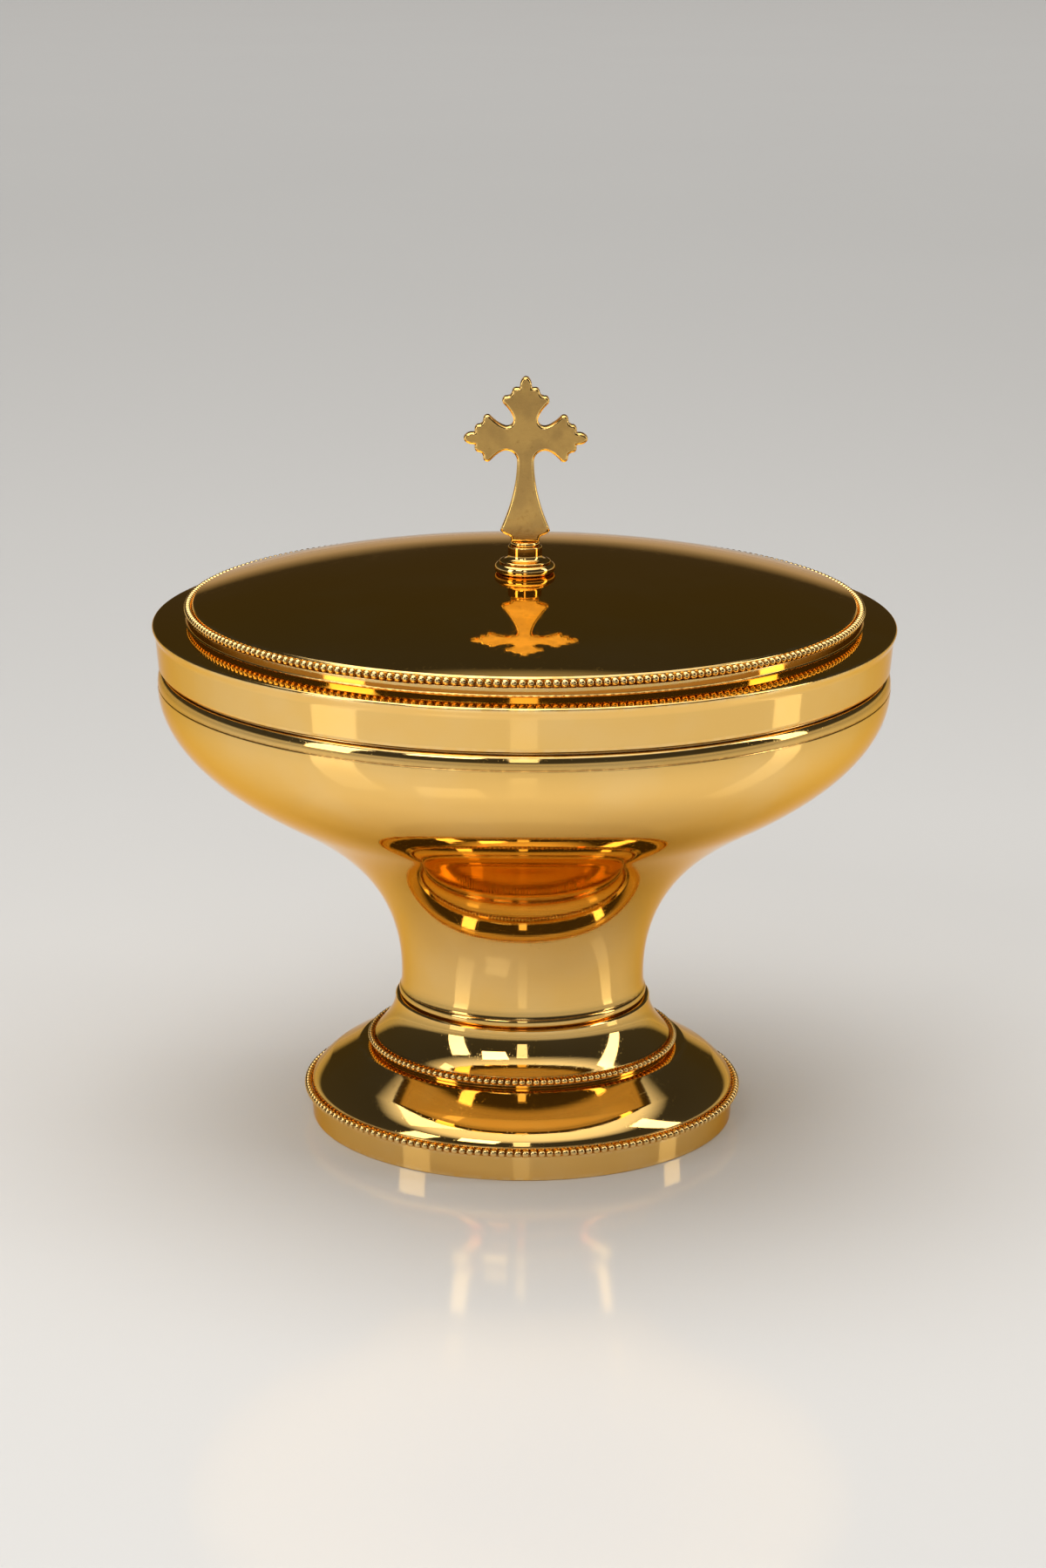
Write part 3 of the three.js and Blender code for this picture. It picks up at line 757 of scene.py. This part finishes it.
def cross_outline():
    """[across, up] from the middle of the cross, up its right half and down its left one."""
    half = lobed_half_end()
    shoulder = curve([3.3, -23.2], [3.35, -22.6], [4.2, -22.6], [5.1, -22.0], 8)
    shaft = curve([5.75, -21.4], [3.73, -16.86], [1.95, -11.2], [1.95, -5.3], 20)
    # A second point so close to the shoulder's corner would be folded over by the bevel
    del shaft[1]
    arch = arc([4.45, -5.3], 2.5, 180, 75, 12)[1:]
    lower_side = curve(arch[-1], [6.3, -3.25], [7.4, -4.45], [8.11, -5.17], 8)[1:-1]
    lower_end = [[along, -across] for along, across in half]
    upper_end = half[:-1][::-1]
    notch = arc([4.3, 4.3], 1.5, 292, 158, 16)
    side = curve(upper_end[-1], [7.35, 4.42], [6.15, 3.3], notch[0], 8)[1:-1]
    top_side = [[across, along] for along, across in side[::-1]]
    top_end = [[across, along] for along, across in half]
    right = [[3.3, -23.95], *shoulder, *shaft, *arch, *lower_side, *lower_end]
    right += [*upper_end, *side, *notch, *top_side, *top_end]
    return right + [[-across, up] for across, up in right[:-1][::-1]]


def ways_out(outline):
    """The way out from each corner, and how much further than a side an inset moves it."""
    longest = 1.6
    made = []
    for index, point in enumerate(outline):
        edges = [point - outline[index - 1], outline[(index + 1) % len(outline)] - point]
        sides = [Vector((edge.y, -edge.x)).normalized() for edge in edges]
        middle = (sides[0] + sides[1]).normalized()
        made.append((middle, min(1 / middle.dot(sides[0]), longest)))
    return made


def cross(edge_gilt):
    """The cross, a flat plate with rounded edges."""
    outline = [Vector(point) for point in cross_outline()]
    ways = ways_out(outline)
    centre, half = top_of("lid_cross") - ARM, depth_of("lid_cross")
    # The rounded edge takes this much of the plate's half thickness, and of its face
    bevel, inward, steps = 0.6, 0.65, 6
    levels = [math.radians(90 * step / steps) for step in range(steps + 1)]
    rings, normals = [], []
    for side in (1, -1):
        for turn in levels[::-1] if side > 0 else levels:
            inset = inward * (1 - math.cos(turn))
            depth = side * (half - bevel + bevel * math.sin(turn))
            ring = []
            for point, (middle, stretch) in zip(outline, ways):
                place = point - middle * inset * stretch
                flat = middle * math.cos(turn)
                ring.append((place.x, depth, place.y + centre))
                normals.append((flat.x, side * math.sin(turn), flat.y))
            rings.append(ring)
    piece = skin("cross", rings, True, normals)
    dress(piece, "lid", "lid_cross", "cast_gilt", cast_face_gilt("cross_face_gilt"), edge_gilt)
    for polygon in piece.data.polygons:
        is_face = abs(polygon.normal.y) > 0.999
        polygon.material_index = 0 if is_face else 1


def cross_foot(edge_gilt):
    """The small moulded ring that the cross stands in."""
    radius, top = 2.9, 138.08
    side = curve([radius, COLLAR_TOP], [3.45, 137.15], [3.45, 137.95], [radius, top], 10)
    outline = [[SNUG_BORE, COLLAR_TOP], *side, [SNUG_BORE, top]]
    piece = turned("cross_foot", outline, SMALL_FACETS)
    dress(piece, "lid", "lid_cross", "cast_gilt", edge_gilt)


def finial():
    """The cross on its collar."""
    finial_collar()
    edge_gilt = cast_edge_gilt("cross_edge_gilt")
    cross(edge_gilt)
    cross_foot(edge_gilt)


# Fastenings


def threaded(name, radius, depth, pitch, bottom, thread_top, top, head=()):
    """A rod with a helical thread from its chamfered lower end up to thread_top."""
    sides, rows = 32, 8
    core = radius - depth
    rings = []
    for row in range(int((thread_top - bottom) / pitch * rows)):
        turns = row / rows
        height = bottom + pitch * turns
        chamfer = core + depth * min(turns, 1.0)
        teeth = [abs(((height / pitch - side / sides) % 1.0) * 2 - 1) for side in range(sides)]
        rings.append(ring_of([min(core + depth * tooth, chamfer) for tooth in teeth], height))
    for reach, height in [(core, thread_top), (radius, thread_top + depth), (radius, top), *head]:
        rings.append(ring_of([reach] * sides, height))
    return skin(name, rings, True)


def foot_bolt(steel):
    """The tie rod, whose head bears on the plate inside the neck."""
    radius, depth, pitch, thread_top = 3.0, 0.5, 1.0, 24.0
    bottom, seat, top = bottom_of("tie_rod"), top_of("neck_plate"), top_of("tie_rod")
    reach = reach_of("tie_rod")
    head = [(radius, seat), (reach - 0.2, seat), (reach, seat + 0.2)]
    head += [(reach, top - 0.4), (reach - 0.4, top)]
    piece = threaded("foot_bolt", radius, depth, pitch, bottom, thread_top, seat - 0.4, head)
    dress(piece, "bowl_and_foot", "tie_rod", "steel", steel)


def finial_screw(steel):
    """The stud that holds the cross and its collar on the lid."""
    radius, depth, pitch, thread_top = reach_of("finial_stud"), 0.28, 0.5, 134.0
    bottom, top = bottom_of("finial_stud"), COLLAR_TOP - 0.02
    piece = threaded("finial_screw", radius, depth, pitch, bottom, thread_top, top)
    dress(piece, "lid", "finial_stud", "steel", steel)


def hexagon_nut(name, node, bore):
    """A hexagon with two flats that face front and back. Its corners are chamfered at both ends."""
    sides = 72
    sixth = math.pi / 3
    bottom, top, half = bottom_of(node), top_of(node), depth_of(node)
    face, chamfer = 0.97 * half, 0.18 * half
    middle, lift = half + 0.5 * chamfer, 0.35 * chamfer
    # A ring that is as wide as the whole nut leaves the corners as they are
    lower = [(bore, 0), (face, 0), (middle, lift), (2 * half, chamfer)]
    upper = [(limit, top - bottom - level) for limit, level in lower[::-1]]
    turns = [2 * math.pi * side / sides for side in range(sides)]
    flats = [half / math.cos(turn % sixth - sixth / 2) for turn in turns]
    rings = []
    for limit, level in lower + upper:
        rings.append(ring_of([min(limit, flat) for flat in flats], bottom + level))
    return skin(name, rings)


def washer(name, node, bore):
    """A flat ring with rounded edges."""
    radius, bottom, top = reach_of(node), bottom_of(node), top_of(node)
    outline = [[bore, bottom], [radius, bottom, 0.3], [radius, top, 0.3], [bore, top]]
    return turned(name, outline, SMALL_FACETS)


def fastenings():
    """Rod, stud, nuts and washers that hold the foot and the finial."""
    steel = turned_metal("zinc_plate", ZINC, DULL_ZINC, 0.18, GRAZING_ZINC)
    brass = turned_metal("plain_brass", BRASS, DULL_BRASS, 0.16, GRAZING_GOLD)
    foot_bolt(steel)
    finial_screw(steel)
    piece = hexagon_nut("bolt_nut", "foot_nut", ROD_BORE)
    dress(piece, "bowl_and_foot", "foot_nut", "steel", steel)
    piece = hexagon_nut("screw_nut", "finial_nut", STUD_BORE)
    dress(piece, "lid", "finial_nut", "steel", steel)
    piece = washer("bolt_washer", "foot_washer", ROD_BORE)
    dress(piece, "bowl_and_foot", "foot_washer", "brass", brass)
    piece = washer("screw_washer", "finial_washer", STUD_BORE)
    dress(piece, "lid", "finial_washer", "brass", brass)
    piece = washer("bolt_plate", "neck_plate", ROD_BORE)
    dress(piece, "bowl_and_foot", "neck_plate", "brass", brass)


# Studio, in metres


def floor():
    """A wide pale floor."""
    reach = 9.0
    corners = [(-reach, -reach, 0), (reach, -reach, 0), (reach, reach, 0), (-reach, reach, 0)]
    mesh = bpy.data.meshes.new("floor")
    mesh.from_pydata(corners, [], [(0, 1, 2, 3)])
    mesh.materials.append(floor_paint())
    shown("floor", mesh)


def lamp(name, place, target, width, height, power, spread=180):
    """A soft box that faces its target. Its power is in watts."""
    light = bpy.data.lights.new(name, "AREA")
    light.shape = "RECTANGLE"
    light.size, light.size_y = width, height
    light.energy = power
    light.spread = math.radians(spread)
    box = shown(name, light)
    box.location = place
    aim = Vector(target) - Vector(place)
    box.rotation_euler = aim.to_track_quat("-Z", "Y").to_euler()
    box.visible_camera = False


def lamps():
    """Soft boxes above the vessel, behind it, in front of it and on both sides."""
    lamp("overhead", (-0.4, 0.3, 2.0), (0, 0.15, 0.0), 1.9, 1.9, 14.0)
    lamp("back_box", (0, 2.6, 3.0), (0, 2.6, 0), 4.5, 3.0, 18.0, 70)
    lamp("front_box", (-0.42, -0.85, 0.85), (0, 0, 0.05), 0.4, 0.3, 1.5)
    lamp("tall_box", (0, -1.0, 0.62), (0, 0, 0.13), 0.16, 0.62, 0.45)
    lamp("left_box", (-0.75, -0.45, 0.40), (0, 0, 0.08), 0.25, 0.6, 1.3)
    lamp("right_box", (0.8, -0.05, 0.45), (0, 0, 0.08), 0.18, 0.7, 1.2)


def room():
    """A warm room, pale at the horizon, dim above it and bright overhead."""
    # The sine of the angle above the horizon, and the brightness there
    tones = ((0.0, 0.5), (0.05, 0.45), (0.13, 0.05), (0.68, 0.04), (0.80, 1.1), (1.0, 1.6))
    warm = (1.0, 0.97, 0.93)
    stops = [(sine, (*(tone * share for share in warm), 1)) for sine, tone in tones]
    world = bpy.data.worlds.new("studio")
    nodes = Nodes(world)
    direction = nodes.node("ShaderNodeTexCoord", output="Generated")
    sine = nodes.node("ShaderNodeSeparateXYZ", {}, {0: direction}, 2)
    tone = nodes.node("ShaderNodeValToRGB", {"stops": stops}, {0: sine})
    light = nodes.node("ShaderNodeBackground", {}, {"Color": tone})
    nodes.node("ShaderNodeOutputWorld", {}, {"Surface": light}, None)
    bpy.context.scene.world = world


def camera():
    """The photograph's view, from the front and a little above the lid."""
    lens = bpy.data.cameras.new("camera")
    lens.lens = 90.27
    view = shown("camera", lens)
    # Fitted to the photograph in millimetres
    place = Matrix.Translation(Vector((-0.155, -888.7, 321.6)) * MM)
    tilt = Matrix.Rotation(math.radians(90 - 15.21), 4, "X")
    roll = Matrix.Rotation(math.radians(0.33), 4, "Z")
    view.matrix_world = place @ tilt @ roll
    bpy.context.scene.camera = view


camera()
foot()
bowl()
liner()
lid()
finial()
fastenings()
floor()
lamps()
room()
bpy.context.scene.view_settings.view_transform = "Standard"
